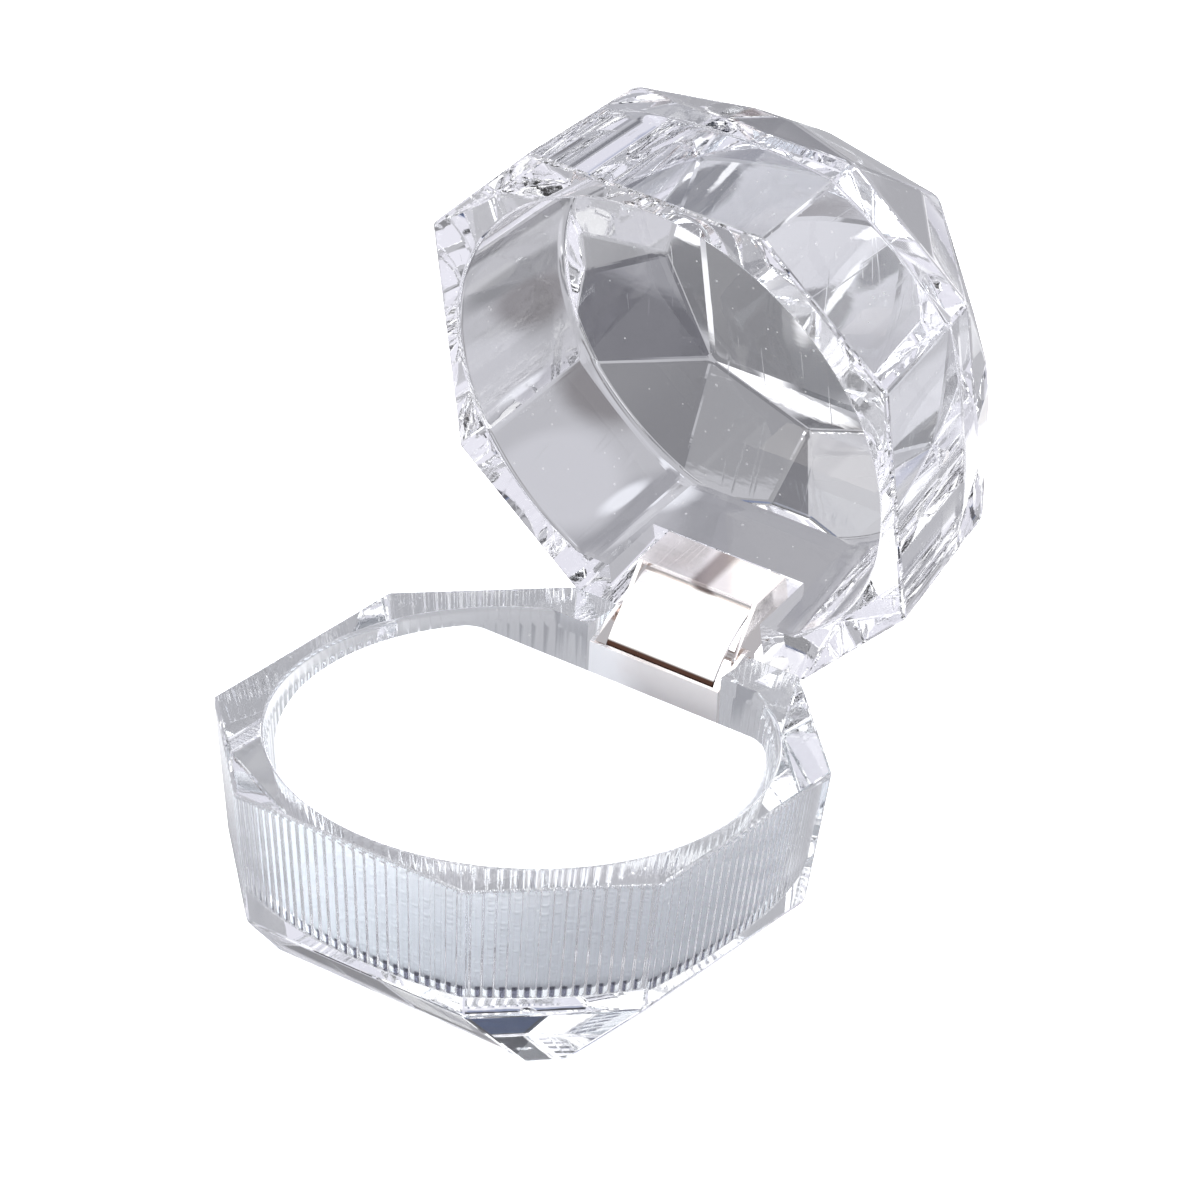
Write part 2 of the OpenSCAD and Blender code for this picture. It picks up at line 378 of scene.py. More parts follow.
# for each direction the turn in degrees and the scale of the patches that break the lines up
scratchLines = {
    "stretch": (1.0, 0.03, 0.03),
    "width": 0.006,
    "directions": [((0, 0, 25), 255.0), ((15, 40, -50), 180.0)],
    "patchLow": 0.56,
    "patchHigh": 0.66,
}


def buildFineScratches():
    # hairlines in two directions, broken up so that only short lengths show
    tree, start, end = newGroup(
        "fineScratches", [("Scratch Scale", 160.0), ("Scratch Amount", 0.5)], "Mask")
    where = start.outputs["Vector"]
    lines = []
    for turn, patchScale in scratchLines["directions"]:
        along = stretched(tree, where, scratchLines["stretch"], turn)
        field = noiseNode(tree, along, start.outputs["Scratch Scale"], 3.0)
        thin = softStep(tree, distanceFrom(tree, field, 0.5), scratchLines["width"], 0.0)
        patch = noiseNode(tree, where, patchScale, 1.0)
        shown = softStep(tree, patch, scratchLines["patchLow"], scratchLines["patchHigh"])
        lines.append(mathNode(tree, "MULTIPLY", thin, shown))
    both = mathNode(tree, "MAXIMUM", *lines)
    mask = mathNode(tree, "MULTIPLY", both, start.outputs["Scratch Amount"])
    tree.links.new(mask, end.inputs["Mask"])
    return tree


def buildDustSpecks():
    # small round specks in some of the cells, each of its own size
    tree, start, end = newGroup(
        "dustSpecks", [("Speck Scale", 1000.0), ("Speck Size", 0.17), ("Empty Share", 0.4)], "Mask")
    cells = tree.nodes.new("ShaderNodeTexVoronoi")
    tree.links.new(start.outputs["Vector"], cells.inputs["Vector"])
    tree.links.new(start.outputs["Speck Scale"], cells.inputs["Scale"])
    split = tree.nodes.new("ShaderNodeSeparateColor")
    tree.links.new(cells.outputs["Color"], split.inputs[0])
    chosen = mathNode(tree, "GREATER_THAN", split.outputs[0], start.outputs["Empty Share"])
    size = mathNode(tree, "MULTIPLY", start.outputs["Speck Size"], split.outputs[1])
    spot = softStep(tree, cells.outputs["Distance"], size, 0.0)
    tree.links.new(mathNode(tree, "MULTIPLY", spot, chosen), end.inputs["Mask"])
    return tree


mouldWaves = buildMouldWaves()
fineScratches = buildFineScratches()
dustSpecks = buildDustSpecks()


def placed(tree, group, where, **values):
    node = tree.nodes.new("ShaderNodeGroup")
    node.node_tree = group
    tree.links.new(where, node.inputs["Vector"])
    for label, value in values.items():
        node.inputs[label.replace("_", " ")].default_value = value
    return node.outputs[0]


def newMaterial(name):
    material = bpy.data.materials.new(name)
    material.use_nodes = True
    tree = material.node_tree
    tree.nodes.clear()
    out = tree.nodes.new("ShaderNodeOutputMaterial")
    return material, tree, out


def surfaceShader(tree, colour, roughness, **constants):
    shader = tree.nodes.new("ShaderNodeBsdfPrincipled")
    shader.inputs["Base Color"].default_value = (*colour, 1)
    shader.inputs["Roughness"].default_value = roughness
    for label, value in constants.items():
        shader.inputs[label.replace("_", " ")].default_value = value
    return shader


def objectPlace(tree):
    return tree.nodes.new("ShaderNodeTexCoord").outputs["Object"]


def mixColours(tree, mask, first, second):
    # inputs 6 and 7 and output 2 of a mix node are its colours
    node = tree.nodes.new("ShaderNodeMix")
    node.data_type = "RGBA"
    tree.links.new(mask, node.inputs["Factor"])
    for socket, colour in ((node.inputs[6], first), (node.inputs[7], second)):
        if isinstance(colour, tuple):
            socket.default_value = (*colour, 1)
        else:
            tree.links.new(colour, socket)
    return node.outputs[2]


def bumpNode(tree, height, distance, under=None):
    node = tree.nodes.new("ShaderNodeBump")
    node.inputs["Strength"].default_value = 1.0
    node.inputs["Distance"].default_value = distance
    tree.links.new(height, node.inputs["Height"])
    if under is not None:
        tree.links.new(under, node.inputs["Normal"])
    return node.outputs[0]


# painted shade: dark dashes painted where the ribs run out above the cavity floor
ribEndShade = {
    "count": 124,
    "height": 7.15,
    "half": 0.6,
    "inside": 16.9,
    "outside": 17.9,
    "softEdge": 0.15,
    "softSide": 0.1,
    "dash": 0.34,
    "dashCore": 0.18,
}

acrylic = {
    "clearBase": {
        "tint": (0.975, 0.988, 1.0),
        "shadow": (0.80, 0.83, 0.86),
        "waves": 0.00001,
        "scratches": 0.5,
        "dustPaintedGlow": 0.25,
        "ribEndShade": (0.035, 0.035, 0.06),
    },
    "clearLid": {
        "tint": (0.985, 0.988, 1.0),
        "shadow": (0.93, 0.94, 0.95),
        "waves": 0.00001,
        "scratches": 0.6,
        "dustPaintedGlow": 0.35,
    },
}

# what scratches and dust do to the clear surface
wear = {
    "roughness": 0.45,
    "scratchDepth": 0.000004,
    "dust": (0.80, 0.80, 0.80),
}


def ribEndShadeMask(tree, where):
    # painted shade: a dark dash in the middle of each rib, in a low band of the cavity's side
    x, y, z = axesOf(tree, where)
    half, inside, outside = (ribEndShade[k] * mm for k in ("half", "inside", "outside"))
    softEdge, softSide = ribEndShade["softEdge"] * mm, ribEndShade["softSide"] * mm
    perTurn = ribEndShade["count"] / (2 * math.pi)
    angle = mathNode(tree, "ARCTAN2", y, x)
    # a whole number added keeps the count above zero all round
    phase = mathNode(tree, "FRACT", mathNode(tree, "MULTIPLY_ADD", angle, perTurn, 200.0))
    dash = softStep(tree, distanceFrom(tree, phase, 0.5), ribEndShade["dash"], ribEndShade["dashCore"])
    band = softStep(tree, distanceFrom(tree, z, ribEndShade["height"] * mm), half, half - softEdge)
    squares = [mathNode(tree, "MULTIPLY", axis, axis) for axis in (x, y)]
    radius = mathNode(tree, "SQRT", mathNode(tree, "ADD", *squares))
    wide = softStep(tree, radius, inside - softSide, inside)
    near = softStep(tree, radius, outside, outside - softSide)
    return product(tree, dash, band, wide, near)


def makeAcrylic(name):
    look = acrylic[name]
    material, tree, out = newMaterial(name)
    where = objectPlace(tree)
    shader = surfaceShader(tree, look["tint"], 0.0, Transmission_Weight=1.0, Metallic=0.0,
                           IOR=1.49, Emission_Strength=look["dustPaintedGlow"])
    scratches = placed(tree, fineScratches, where, Scratch_Amount=look["scratches"])
    dustAndGlowSpecks = placed(tree, dustSpecks, where)
    marks = mathNode(tree, "MAXIMUM", scratches, dustAndGlowSpecks)
    rough = mathNode(tree, "MULTIPLY", marks, wear["roughness"])
    tree.links.new(rough, shader.inputs["Roughness"])
    tint = mixColours(tree, dustAndGlowSpecks, look["tint"], wear["dust"])
    # painted shade: the clear base's colour is darkened in the rib-end dashes
    if "ribEndShade" in look:
        tint = mixColours(tree, ribEndShadeMask(tree, where), tint, look["ribEndShade"])
    tree.links.new(tint, shader.inputs["Base Color"])
    # painted light: the dust specks glow as if catching the studio light, and aren't sampled as a
    # lamp of their own
    tree.links.new(mixColours(tree, dustAndGlowSpecks, (0, 0, 0), (1, 1, 1)), shader.inputs["Emission Color"])
    material.cycles.emission_sampling = "NONE"
    waves = bumpNode(tree, placed(tree, mouldWaves, where), look["waves"])
    grooves = bumpNode(tree, scratches, -wear["scratchDepth"], under=waves)
    tree.links.new(grooves, shader.inputs["Normal"])
    # light passes through as through clear stock, so that the pad and the floor are lit
    clear = tree.nodes.new("ShaderNodeBsdfTransparent")
    clear.inputs["Color"].default_value = (*look["shadow"], 1)
    path = tree.nodes.new("ShaderNodeLightPath")
    mix = tree.nodes.new("ShaderNodeMixShader")
    tree.links.new(path.outputs["Is Shadow Ray"], mix.inputs["Fac"])
    tree.links.new(shader.outputs["BSDF"], mix.inputs[1])
    tree.links.new(clear.outputs["BSDF"], mix.inputs[2])
    tree.links.new(mix.outputs["Shader"], out.inputs["Surface"])
    return material


metals = {
    "nickel": {
        "colour": (0.985, 0.945, 0.92),
        "tarnish": (0.93, 0.87, 0.84),
        "paintedShade": (0.42, 0.37, 0.355),
        "roughness": 0.12,
    },
    "springNickel": {
        "colour": (0.95, 0.945, 0.94),
        "tarnish": (0.88, 0.86, 0.84),
        "paintedShade": (0.07, 0.035, 0.025),
        "roughness": 0.22,
    },
}

# painted reflection: the leaf's web carries a soft dark band standing in for a dark reflection;
# painted shade: the spring carries a dark line of grease and shadow where it tucks behind the other
# leaf
metalShadeBands = {
    "nickel": {
        "centre": 0.2,
        "half": 1.2,
        "edge": 0.8,
        "axis": 0,
        "other": 1,
        "above": 20.0,
    },
    "springNickel": {
        "centre": 15.2,
        "half": 0.95,
        "edge": 0.2,
        "axis": 2,
        "other": 0,
        "above": -20.0,
    },
}

# rolled grain runs across the hinge
metalWear = {
    "grainStretch": (0.05, 1.0, 1.0),
    "grainScale": 3000.0,
    "grainDepth": 0.000002,
    "grainRoughness": 0.12,
    "blotchScale": 260.0,
    "blotchLow": 0.50,
    "blotchHigh": 0.78,
    "scratchScale": 260.0,
    "scratchAmount": 0.8,
    "scratchRoughness": 0.15,
    "dentScale": 330.0,
    "dentDepth": 0.00002,
}


def shadeBandMask(tree, where, centre, half, edge, axis, other, above, fade=0.3):
    # a soft band of painted shade across one axis, only beyond a place on another one (millimetres)
    axes = axesOf(tree, where)
    away = distanceFrom(tree, axes[axis], centre * mm)
    band = softStep(tree, away, half * mm, (half - edge) * mm)
    beyond = softStep(tree, axes[other], above * mm, (above + fade) * mm)
    return mathNode(tree, "MULTIPLY", band, beyond)


def makeMetal(name):
    look = metals[name]
    material, tree, out = newMaterial(name)
    where = objectPlace(tree)
    shader = surfaceShader(tree, look["colour"], look["roughness"], Metallic=1.0)
    along = stretched(tree, where, metalWear["grainStretch"])
    grain = noiseNode(tree, along, metalWear["grainScale"], 3.0)
    clouds = noiseNode(tree, where, metalWear["blotchScale"], 3.0)
    blotches = softStep(tree, clouds, metalWear["blotchLow"], metalWear["blotchHigh"])
    scratches = placed(tree, fineScratches, where, Scratch_Scale=metalWear["scratchScale"],
                       Scratch_Amount=metalWear["scratchAmount"])
    worn = mixColours(tree, blotches, look["colour"], look["tarnish"])
    # painted shade and painted reflection: the bands darken the worn metal colour
    shadedColour = mixColours(tree, shadeBandMask(tree, where, **metalShadeBands[name]), worn, look["paintedShade"])
    tree.links.new(shadedColour, shader.inputs["Base Color"])
    # the grain swings the roughness to both sides of its own value
    swing = metalWear["grainRoughness"]
    rough = mathNode(tree, "MULTIPLY_ADD", grain, swing, look["roughness"] - swing / 2)
    rough = mathNode(tree, "MULTIPLY_ADD", scratches, metalWear["scratchRoughness"], rough)
    tree.links.new(rough, shader.inputs["Roughness"])
    bulges = noiseNode(tree, where, metalWear["dentScale"], 1.0)
    dents = bumpNode(tree, bulges, metalWear["dentDepth"])
    surface = bumpNode(tree, grain, metalWear["grainDepth"], under=dents)
    tree.links.new(surface, shader.inputs["Normal"])
    tree.links.new(shader.outputs["BSDF"], out.inputs["Surface"])
    return material


foam = {
    "colour": (0.90, 0.915, 0.93),
    "pores": (0.86, 0.875, 0.895),
    "cellScale": 2600.0,
    "poreLow": 0.15,
    "poreHigh": 0.55,
    "poreDepth": 0.00002,
    "skinScale": 420.0,
    "skinDepth": 0.00006,
    "roughness": 0.82,
    "roughnessSwing": 0.12,
}


def makeFoam(name):
    material, tree, out = newMaterial(name)
    where = objectPlace(tree)
    shader = surfaceShader(tree, foam["colour"], foam["roughness"], Sheen_Weight=0.15,
                           Sheen_Roughness=0.5)
    cells = tree.nodes.new("ShaderNodeTexVoronoi")
    cells.inputs["Scale"].default_value = foam["cellScale"]
    tree.links.new(where, cells.inputs["Vector"])
    pores = softStep(tree, cells.outputs["Distance"], foam["poreLow"], foam["poreHigh"])
    soft = noiseNode(tree, where, foam["skinScale"], 3.0)
    shade = mathNode(tree, "MULTIPLY", pores, soft)
    colour = mixColours(tree, shade, foam["colour"], foam["pores"])
    tree.links.new(colour, shader.inputs["Base Color"])
    rough = mathNode(tree, "MULTIPLY_ADD", soft, foam["roughnessSwing"], foam["roughness"])
    tree.links.new(rough, shader.inputs["Roughness"])
    skin = bumpNode(tree, soft, foam["skinDepth"])
    tree.links.new(bumpNode(tree, pores, -foam["poreDepth"], under=skin), shader.inputs["Normal"])
    tree.links.new(shader.outputs["BSDF"], out.inputs["Surface"])
    return material


clearBase = makeAcrylic("clearBase")
clearLid = makeAcrylic("clearLid")
nickel = makeMetal("nickel")
springNickel = makeMetal("springNickel")
whiteFoam = makeFoam("whiteFoam")
print("finishes done")


base = {
    "wallHeight": 10.9,
    "bevelHeight": 6.3,
    "footHalf": 12.65,
    "footCorner": 2.1,
    "cavityRadius": 18.3,
    "cavityDepth": 10.65,
    "ribCount": ribEndShade["count"],
    "stepsPerRib": 10,
    "ribHeight": 0.18,
    "ribBand": 0.8,
    "ribFade": 0.35,
    "bandStep": 0.1,
    "bandPoints": (0.35, 0.25, 0.12, 0),
    "notchWidth": 12.0,
    "notchDepth": 5.15,
    "edgeRound": 0.28,
    "gateRadius": 0.7,
    "gateDepth": 0.15,
    # the mark's rounded edge, as shares of its radius and depth
    "gateRounding": [(1.0, 0.0), (0.75, 0.7), (0.4, 1.0)],
    "gateSides": 24,
}


def quarterRound(centre, middle, radius, start, sweep, steps=4):
    turns = [math.radians(start + sweep * k / steps) for k in range(steps + 1)]
    return [(centre + radius * math.cos(a), middle + radius * math.sin(a)) for a in turns]


def circle(radius, height, sides):
    turns = [2 * math.pi * k / sides for k in range(sides)]
    return [(radius * math.cos(a), radius * math.sin(a), height) for a in turns]


def withSupports(profile, longRun=2.0, reach=0.12):
    # points close to both ends of every long run keep rounded shading beside the rounding
    points = [profile[0]]
    for (r0, z0), (r1, z1) in zip(profile, profile[1:]):
        length = math.hypot(r1 - r0, z1 - z0)
        if length > longRun:
            near = reach / length
            points += [(r0 + (r1 - r0) * t, z0 + (z1 - z0) * t) for t in (near, 1 - near)]
        points.append((r1, z1))
    return points


def makeBaseShell():
    rim = box["rimHeight"]
    rings = [
        cutSquare(base["footHalf"], base["footCorner"], 0),
        wallRing(draft(base["wallHeight"]), base["bevelHeight"]),
        wallRing(0, rim),
    ]
    shell = newPiece("baseShell", meshFrom("baseShell", *loftPoints(rings)))
    addBevel(shell, base["edgeRound"], box["edgeSegments"], box["edgeAngle"])
    applyModifiers(shell)
    floor = rim - base["cavityDepth"]
    bandLow = rim - base["ribBand"]
    slope = box["cavityTaper"] / base["cavityDepth"]
    floorRadius = base["cavityRadius"] - box["cavityTaper"]
    bandRadius = floorRadius + (bandLow - floor) * slope
    fillet, flare = box["fillet"], box["rimRound"]
    profile = [(0, floor)]
    profile += quarterRound(floorRadius - fillet, floor + fillet, fillet, -90, 90)
    profile += [(bandRadius - down * slope, bandLow - down) for down in base["bandPoints"]]
    mouth = bandRadius + base["bandStep"] + flare
    profile += quarterRound(mouth, rim - flare, flare, 180, -90)
    profile += [(mouth, rim + 1), (0, rim + 1)]
    core = turnedCore("baseCore", withSupports(profile), clearBase, base["ribCount"],
                      base["stepsPerRib"], base["ribHeight"], floor, bandLow, base["ribFade"])
    half = base["notchWidth"] / 2
    notch = block("baseNotch", (-half, box["hingeWall"] - 1, rim - base["notchDepth"]),
                  (half, box["rimHalf"] + 1, rim + 1))
    # shallow round mark that the mould's gate leaves under the foot
    gateRings = [circle(base["gateRadius"] * 1.1, -0.1, base["gateSides"])]
    gateRings += [circle(base["gateRadius"] * wide, base["gateDepth"] * deep, base["gateSides"])
                  for wide, deep in base["gateRounding"]]
    gate = newPiece("gate", meshFrom("gate", *loftPoints(gateRings)))
    return flattened(cutAway(shell, [core, notch, gate]))


# the lid is drawn shut and then turned open
lid = {
    "wallHeight": 12.0,
    "tableHeight": 22.5,
    "tableHalf": 8.9,
    "tableBand": 0.5,
    "tableBandDrop": 0.065,
    "starReach": 11.85,
    "starDrop": 0.8,
    "girdleHeight": 15.45,
    "girdleLean": 20.5,
    "cavityRadius": 18.5,
    "cavityDepth": 11.1,
    "notchWidth": 13.6,
    "notchDepth": 5.5,
    "edgeRound": 0.3,
    "cavitySteps": 256,
}


def crownPoints():
    wall = Vector(wallRing(draft(lid["wallHeight"]), lid["wallHeight"])[1])
    star = Vector((lid["starReach"], 0, lid["tableHeight"] - lid["starDrop"]))
    table = Vector((lid["tableHalf"], lid["tableHalf"], lid["tableHeight"] - lid["tableBandDrop"]))
    inner = lid["tableHalf"] - lid["tableBand"]
    normal = (star - wall).cross(table - wall)
    z = lid["girdleHeight"]
    x = wall.x - (z - lid["wallHeight"]) * math.tan(math.radians(lid["girdleLean"]))
    girdle = Vector((x, (normal.dot(wall) - normal.z * z - normal.x * x) / normal.y, z))
    return wall, star, table, girdle, Vector((inner, inner, lid["tableHeight"]))


def lidBodyMesh():
    wall, star, table, girdle, inner = crownPoints()

    def mirrored(p):
        return Vector((p.x, -p.y, p.z))

    side = [mirrored(wall), wall, mirrored(girdle), girdle, star, table, inner]
    n = len(side)
    points = []
    faces = []
    for k in range(4):
        turn = Matrix.Rotation(math.radians(90 * k), 3, "Z")
        points += [tuple(turn @ p) for p in side]
        s, after, before = k * n, (k + 1) % 4 * n, (k + 3) % 4 * n
        faces += [
            (s, s + 1, s + 3, s + 2),
            (s + 2, s + 3, s + 4),
            (s + 1, s + 5, s + 4, s + 3),
            (s, s + 2, s + 4, before + 5),
            (s + 4, s + 5, before + 5),
            (s + 1, after, s + 5),
            (s + 5, s + 6, before + 6, before + 5),
        ]
    faces.append(tuple(k * n + 6 for k in range(4)))
    rim = len(points)
    points += wallRing(0, 0)
    upper = [k * n + j for k in range(4) for j in (0, 1)]
    for i in range(8):
        j = (i + 1) % 8
        faces.append((rim + i, rim + j, upper[j], upper[i]))
    faces.append(tuple(rim + i for i in range(7, -1, -1)))
    lift = box["rimHeight"] + box["rimGap"]
    return meshFrom("lidShell", [(p[0], p[1], p[2] + lift) for p in points], faces)


def makeLidShell():
    shell = newPiece("lidShell", lidBodyMesh())
    addBevel(shell, lid["edgeRound"], box["edgeSegments"], box["edgeAngle"])
    applyModifiers(shell)
    rim = box["rimHeight"] + box["rimGap"]
    ceiling = rim + lid["cavityDepth"]
    mouth = lid["cavityRadius"]
    top = mouth - box["cavityTaper"]
    fillet, flare = box["fillet"], box["rimRound"]
    profile = [(0, rim - 1), (mouth + flare, rim - 1)]
    profile += quarterRound(mouth + flare, rim + flare, flare, 270, -90)
    profile += quarterRound(top - fillet, ceiling - fillet, fillet, 0, 90)
    profile += [(0, ceiling)]
    # a plain cavity is one wide rib of no height
    core = turnedCore("lidCore", withSupports(profile), clearLid, ribs=1, steps=lid["cavitySteps"],
                      ribHeight=0, ribBottom=rim, ribTop=ceiling, ribFade=1)
    half = lid["notchWidth"] / 2
    notch = block("lidNotch", (-half, box["hingeWall"] - 1, rim - 1),
                  (half, box["rimHalf"] + 1, rim + lid["notchDepth"]))
    return openLid(flattened(cutAway(shell, [core, notch])))


baseShell = makeBaseShell()
print("base shell done,", len(baseShell.data.polygons), "faces")
lidShell = makeLidShell()
print("lid shell done,", len(lidShell.data.polygons), "faces")


hinge = {
    "sheetRound": 0.06,
    "springRound": 0.05,
    "roundSegments": 2,
    "roundAngle": 30,
}


def softened(node, name, width):
    # the solid's own shape with its edges rounded off
    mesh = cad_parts[node].data.copy()
    bm = bmesh.new()
    bm.from_mesh(mesh)
    bmesh.ops.remove_doubles(bm, verts=bm.verts, dist=1e-6)
    bmesh.ops.dissolve_limit(bm, angle_limit=math.radians(1), verts=bm.verts, edges=bm.edges)
    for face in bm.faces:
        face.smooth = True
    bm.to_mesh(mesh)
    bm.free()
    mesh.materials.clear()
    piece = newPiece(name, mesh)
    addBevel(piece, width, hinge["roundSegments"], hinge["roundAngle"])
    weighted = piece.modifiers.new("facing", "WEIGHTED_NORMAL")
    weighted.keep_sharp = True
    return applyModifiers(piece)


baseLeaf = softened("hinge_base_leaf", "hingeBaseLeaf", hinge["sheetRound"])
lidLeaf = softened("hinge_lid_leaf", "hingeLidLeaf", hinge["sheetRound"])
springPlate = softened("hinge_spring", "hingeSpring", hinge["springRound"])
hingePin = softened("hinge_pin", "hingePin", hinge["sheetRound"])
print("hinge done")


pad = {
    "radius": 17.55,
    "bottomRadius": 16.85,
    "top": 0.5,
    "bottom": 0.2,
    "back": 11.75,
    "corner": 2.5,
    "edge": 0.9,
    "slitLength": 21.0,
    "slitWidth": 0.35,
    "slitDepth": 3.0,
    "roundSteps": 120,
    "cornerSteps": 12,
    "edgeSteps": 5,
}


def padOutline(radius, inset):
    # a round disc with a straight back edge whose ends are rounded
    r = radius - inset
    back = pad["back"] - inset
    corner = pad["corner"] - inset
    cornerY = back - corner
    cornerX = math.sqrt((r - corner) ** 2 - cornerY ** 2)
    start = math.atan2(cornerY, cornerX)
    right = math.pi / 2
    steps = pad["cornerSteps"]
    points = []
    for k in range(steps + 1):
        a = right + (start - right) * k / steps
        points.append((cornerX + corner * math.cos(a), cornerY + corner * math.sin(a)))
    sweep = math.pi + 2 * start
    for k in range(1, pad["roundSteps"]):
        a = start - sweep * k / pad["roundSteps"]
        points.append((r * math.cos(a), r * math.sin(a)))
    for k in range(steps + 1):
        a = math.pi - start - (right - start) * k / steps
        points.append((-cornerX + corner * math.cos(a), cornerY + corner * math.sin(a)))
    points.reverse()
    return points


def makePad():
    top = box["rimHeight"] - pad["top"]
    bottom = box["rimHeight"] - base["cavityDepth"] + pad["bottom"]
    edge = pad["edge"]
    turns = [math.pi / 2 * k / pad["edgeSteps"] for k in range(pad["edgeSteps"] + 1)]
    # inset, height and radius of each level, from the bottom's rounding to the top's
    levels = [(edge * (1 - math.sin(a)), bottom + edge * (1 - math.cos(a)), pad["bottomRadius"])
              for a in turns]
    levels += [(edge * (1 - math.cos(a)), top - edge * (1 - math.sin(a)), pad["radius"])
               for a in turns]
    rings = [[(x, y, z) for x, y in padOutline(r, inset)] for inset, z, r in levels]
    piece = newPiece("foamPad", meshFrom("foamPad", *loftPoints(rings), smooth=True))
    half = pad["slitLength"] / 2
    slit = block("slit", (-half, -pad["slitWidth"] / 2, top - pad["slitDepth"]),
                 (half, pad["slitWidth"] / 2, top + 1))
    return cutAway(piece, [slit])


foamPad = makePad()
print("foam pad done")


def dress(piece, material, body, node):
    piece.data.materials.clear()
    piece.data.materials.append(material)
    piece.data.polygons.foreach_set("material_index", [0] * len(piece.data.polygons))
    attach(piece, body)
    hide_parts(node)


dress(baseShell, clearBase, "base", "base_shell")
dress(lidShell, clearLid, "lid", "lid_shell")
dress(foamPad, whiteFoam, "base", "foam_pad")
dress(baseLeaf, nickel, "base", "hinge_base_leaf")
dress(hingePin, nickel, "base", "hinge_pin")
dress(springPlate, springNickel, "spring", "hinge_spring")
dress(lidLeaf, nickel, "lid", "hinge_lid_leaf")


view = {
    "azimuth": 35.26,
    "elevation": 29.03,
    "roll": 2.90,
    "distance": 542.8,
    "target": (6.26, 0.0, 30.42),
    "lens": 232.6,
}


def placeCamera():
    az, el, roll = (math.radians(view[k]) for k in ("azimuth", "elevation", "roll"))
    back = Vector((math.sin(az) * math.cos(el), -math.cos(az) * math.cos(el), math.sin(el)))
    right = Vector((math.cos(az), math.sin(az), 0))
    up = back.cross(right)
    sideways = math.cos(roll) * right + math.sin(roll) * up
    upwards = -math.sin(roll) * right + math.cos(roll) * up
    eye = (Vector(view["target"]) + view["distance"] * back) * mm
    data = bpy.data.cameras.new("camera")
    data.lens = view["lens"]
    data.sensor_width = 36
    data.clip_start = 0.01
    camera = bpy.data.objects.new("camera", data)
    bpy.context.scene.collection.objects.link(camera)
    turn = Matrix((sideways, upwards, back)).transposed().to_4x4()
    camera.matrix_world = Matrix.Translation(eye) @ turn
    bpy.context.scene.camera = camera


# The clear walls show what stands round the box, so the sky and a sheet on the floor
# carry soft light and dark areas. Places in millimetres, directions as unit vectors.
studio = {
    "floorColour": (0.92, 0.92, 0.92),
    "floorGlow": 0.6,
    "floorReach": 3000,
    "floorHeight": -0.05,
    "sheetHole": 13.4,
    "sheetReach": 2500,
    "sheetHeight": 0.4,
    "sheetTone": (0.48, 0.48, 0.51),
    "sheetAreas": [
        # centre, radii, turn in degrees, tone, softness
        ((-80, 2), (58, 44), 0, (1.05, 1.05, 1.08), 0.3),
        ((-12, 51), (24, 13), 0, (0.32, 0.32, 0.35), 0.4),
        ((-100, 420), (700, 230), 0, (0.20, 0.20, 0.215), 0.2),
        ((-560, 1400), (800, 700), 0, (0.30, 0.30, 0.32), 0.2),
        ((-90, 132), (78, 19), -30, (0.66, 0.66, 0.70), 0.5),
        ((-86, 99), (34, 9), -35, (0.28, 0.28, 0.30), 0.5),
        ((-58, 79), (27, 5.6), -32, (0.22, 0.21, 0.22), 0.5),
        ((-42, 58), (24, 7.5), -29, (0.58, 0.58, 0.62), 0.4),
        ((-27.0, 54.0), (2.6, 4.2), 0, (0.85, 0.86, 0.92), 0.6),
        ((-46.5, 100.0), (19, 7.0), -28, (0.22, 0.22, 0.235), 0.2),
        ((-24, 148), (14, 30), 0, (0.13, 0.13, 0.15), 0.2),
        ((-24, 166), (16, 14), 0, (0.30, 0.30, 0.33), 0.6),
        ((-15, 122), (6, 10), 0, (0.34, 0.34, 0.36), 0.3),
        ((-41, 113), (6.5, 12), 32, (0.16, 0.16, 0.175), 0.3),
        ((-45, 106), (11, 1.5), -56, (1.1, 1.1, 1.12), 0.5),
        ((-54, 122.4), (12, 3.0), -12, (1.3, 1.3, 1.32), 0.3),
    ],
    "skyTone": (0.83, 0.82, 0.90),
    "skyAreas": [
        # direction, spread, tone, softness
        ((-0.45, -0.40, 0.80), 0.9, (1.5, 1.5, 1.5), 0.4),
        ((-0.50, 0.45, 0.74), 0.20, (1.15, 1.12, 1.11), 0.4),
        ((-0.40, 0.92, 0.0), 0.20, (0.31, 0.31, 0.33), 0.3),
        ((-0.61, 0.79, 0.05), 0.15, (0.52, 0.52, 0.55), 0.3),
        ((-0.53, 0.76, 0.36), 0.30, (0.06, 0.12, 0.30), 0.2),
        ((-0.53, 0.76, 0.36), 0.27, (0.04, 0.04, 0.05), 0.2),
        ((-0.49, 0.87, 0.03), 0.06, (0.14, 0.14, 0.16), 0.3),
        ((-0.10, 0.98, 0.18), 0.06, (0.01, 0.01, 0.015), 0.2),
    ],
    # name, place, aim, size, power; in metres and watts
    "lamps": [
        ("key", (-0.30, -0.30, 0.42), (0, 0, 0.02), (0.36, 0.36), 5),
        ("top", (0.05, 0.0, 0.6), (0, 0, 0.02), (0.4, 0.4), 4),
        ("fill", (-0.10, 0.45, 0.35), (0, 0, 0.02), (0.3, 0.3), 3),
    ],
    # how often light may bounce inside the clear walls
    "mirrorBounces": 14,
    "clearBounces": 16,
}


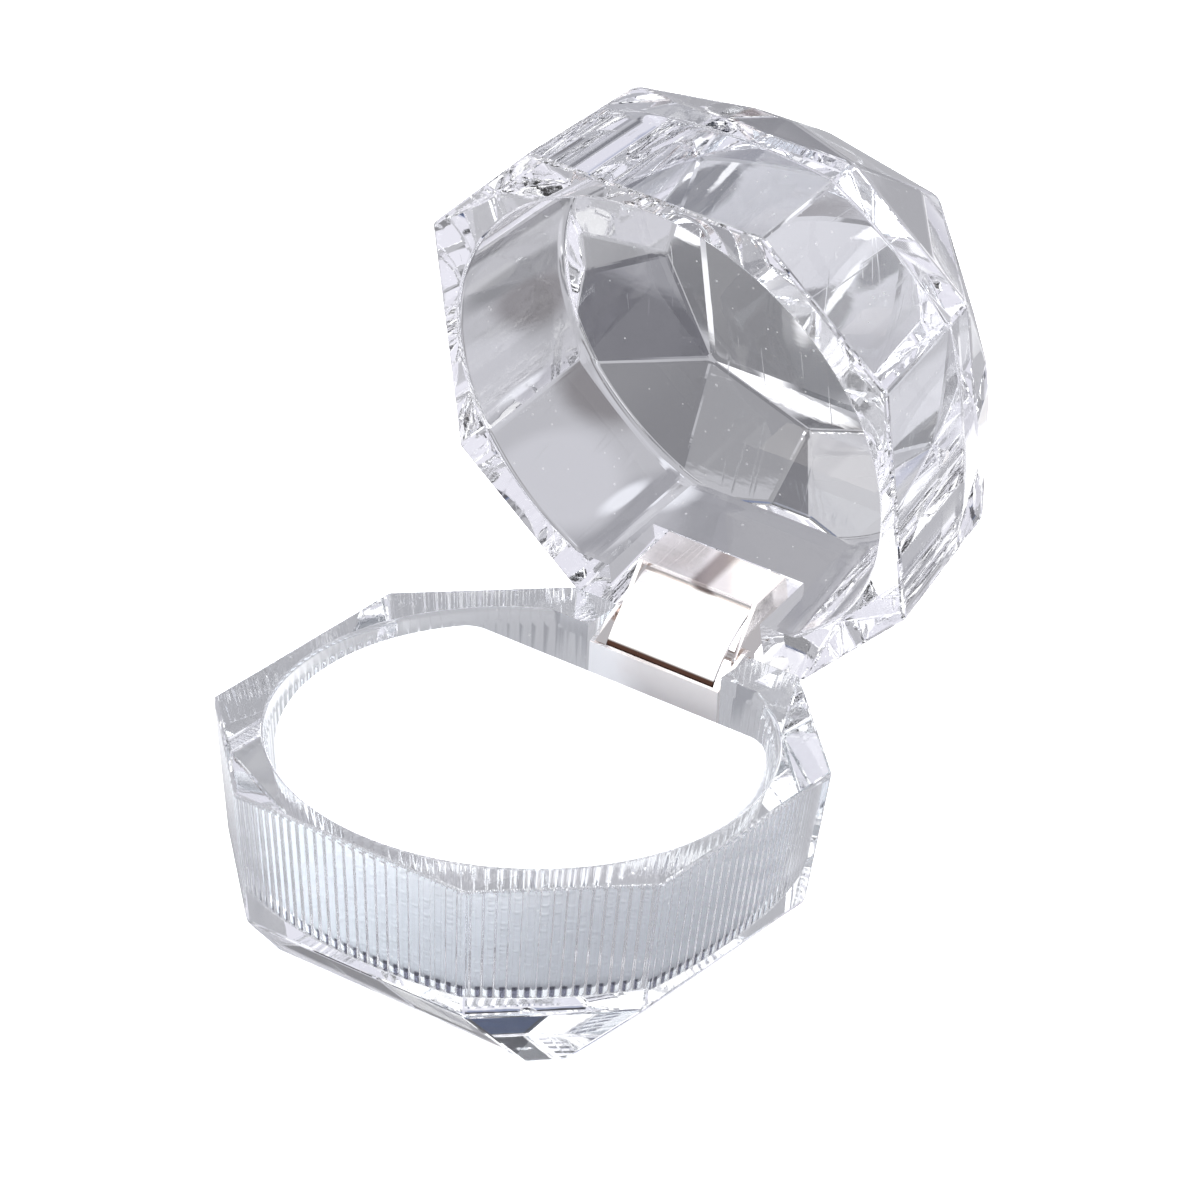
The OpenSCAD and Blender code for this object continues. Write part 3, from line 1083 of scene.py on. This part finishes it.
def paintTones(tree, where, tone, areas):
    # soft round areas laid over an even tone: centre, radii, turn, colour, softness
    colour = tone
    for centre, radii, turn, areaTone, softness in areas:
        mapping = tree.nodes.new("ShaderNodeMapping")
        mapping.vector_type = "TEXTURE"
        mapping.inputs["Location"].default_value = centre
        mapping.inputs["Rotation"].default_value = (0, 0, math.radians(turn))
        mapping.inputs["Scale"].default_value = radii
        tree.links.new(where, mapping.inputs["Vector"])
        ball = tree.nodes.new("ShaderNodeTexGradient")
        ball.gradient_type = "SPHERICAL"
        tree.links.new(mapping.outputs[0], ball.inputs["Vector"])
        mask = softStep(tree, ball.outputs["Fac"], 0.0, softness)
        colour = mixColours(tree, mask, colour, areaTone)
    return colour


def paintSky():
    world = bpy.data.worlds.new("studio")
    bpy.context.scene.world = world
    world.use_nodes = True
    tree = world.node_tree
    where = tree.nodes.new("ShaderNodeTexCoord").outputs["Generated"]
    areas = [(direction, (spread,) * 3, 0, tone, softness)
             for direction, spread, tone, softness in studio["skyAreas"]]
    background = tree.nodes["Background"]
    tree.links.new(paintTones(tree, where, studio["skyTone"], areas), background.inputs["Color"])
    background.inputs["Strength"].default_value = 1.0


squareCorners = [(-1, -1), (1, -1), (1, 1), (-1, 1)]


def flatMesh(name, rings, faces, height):
    points = [(x * reach * mm, y * reach * mm, height * mm)
              for reach in rings for x, y in squareCorners]
    mesh = bpy.data.meshes.new(name)
    mesh.from_pydata(points, [], faces)
    return mesh


def makeSheet():
    # a large sheet round the foot, which only clear and shiny surfaces see
    faces = [(i, (i + 1) % 4, 4 + (i + 1) % 4, 4 + i) for i in range(4)]
    rings = (studio["sheetHole"], studio["sheetReach"])
    mesh = flatMesh("floorSheet", rings, faces, studio["sheetHeight"])
    sheet = newPiece("floorSheet", mesh)
    paint, tree, out = newMaterial("floorSheet")
    glow = tree.nodes.new("ShaderNodeEmission")
    areas = [((x * mm, y * mm, 0), (rx * mm, ry * mm, 1), turn, tone, softness)
             for (x, y), (rx, ry), turn, tone, softness in studio["sheetAreas"]]
    tones = paintTones(tree, objectPlace(tree), studio["sheetTone"], areas)
    tree.links.new(tones, glow.inputs["Color"])
    tree.links.new(glow.outputs["Emission"], out.inputs["Surface"])
    mesh.materials.append(paint)
    sheet.visible_camera = False
    sheet.visible_diffuse = False
    sheet.visible_shadow = False


def makeFloor():
    mesh = flatMesh("floor", (studio["floorReach"],), [(0, 1, 2, 3)], studio["floorHeight"])
    floor = newPiece("floor", mesh)
    paint, tree, out = newMaterial("floorPaint")
    shader = surfaceShader(tree, studio["floorColour"], 0.8, Emission_Strength=studio["floorGlow"])
    shader.inputs["Emission Color"].default_value = (1, 1, 1, 1)
    tree.links.new(shader.outputs["BSDF"], out.inputs["Surface"])
    mesh.materials.append(paint)


def softbox(name, place, aim, size, power):
    data = bpy.data.lights.new(name, "AREA")
    data.shape = "RECTANGLE"
    data.size, data.size_y = size
    data.energy = power
    lamp = bpy.data.objects.new(name, data)
    bpy.context.scene.collection.objects.link(lamp)
    direction = Vector(aim) - Vector(place)
    turn = direction.to_track_quat("-Z", "Y").to_matrix().to_4x4()
    lamp.matrix_world = Matrix.Translation(place) @ turn
    lamp.visible_glossy = False
    lamp.visible_transmission = False


def setLightPaths():
    cycles = bpy.context.scene.cycles
    cycles.max_bounces = studio["clearBounces"]
    cycles.transmission_bounces = studio["clearBounces"]
    cycles.glossy_bounces = studio["mirrorBounces"]


placeCamera()
makeFloor()
makeSheet()
paintSky()
for lamp in studio["lamps"]:
    softbox(*lamp)
setLightPaths()
bpy.context.scene.view_settings.view_transform = "Standard"
print("studio done")
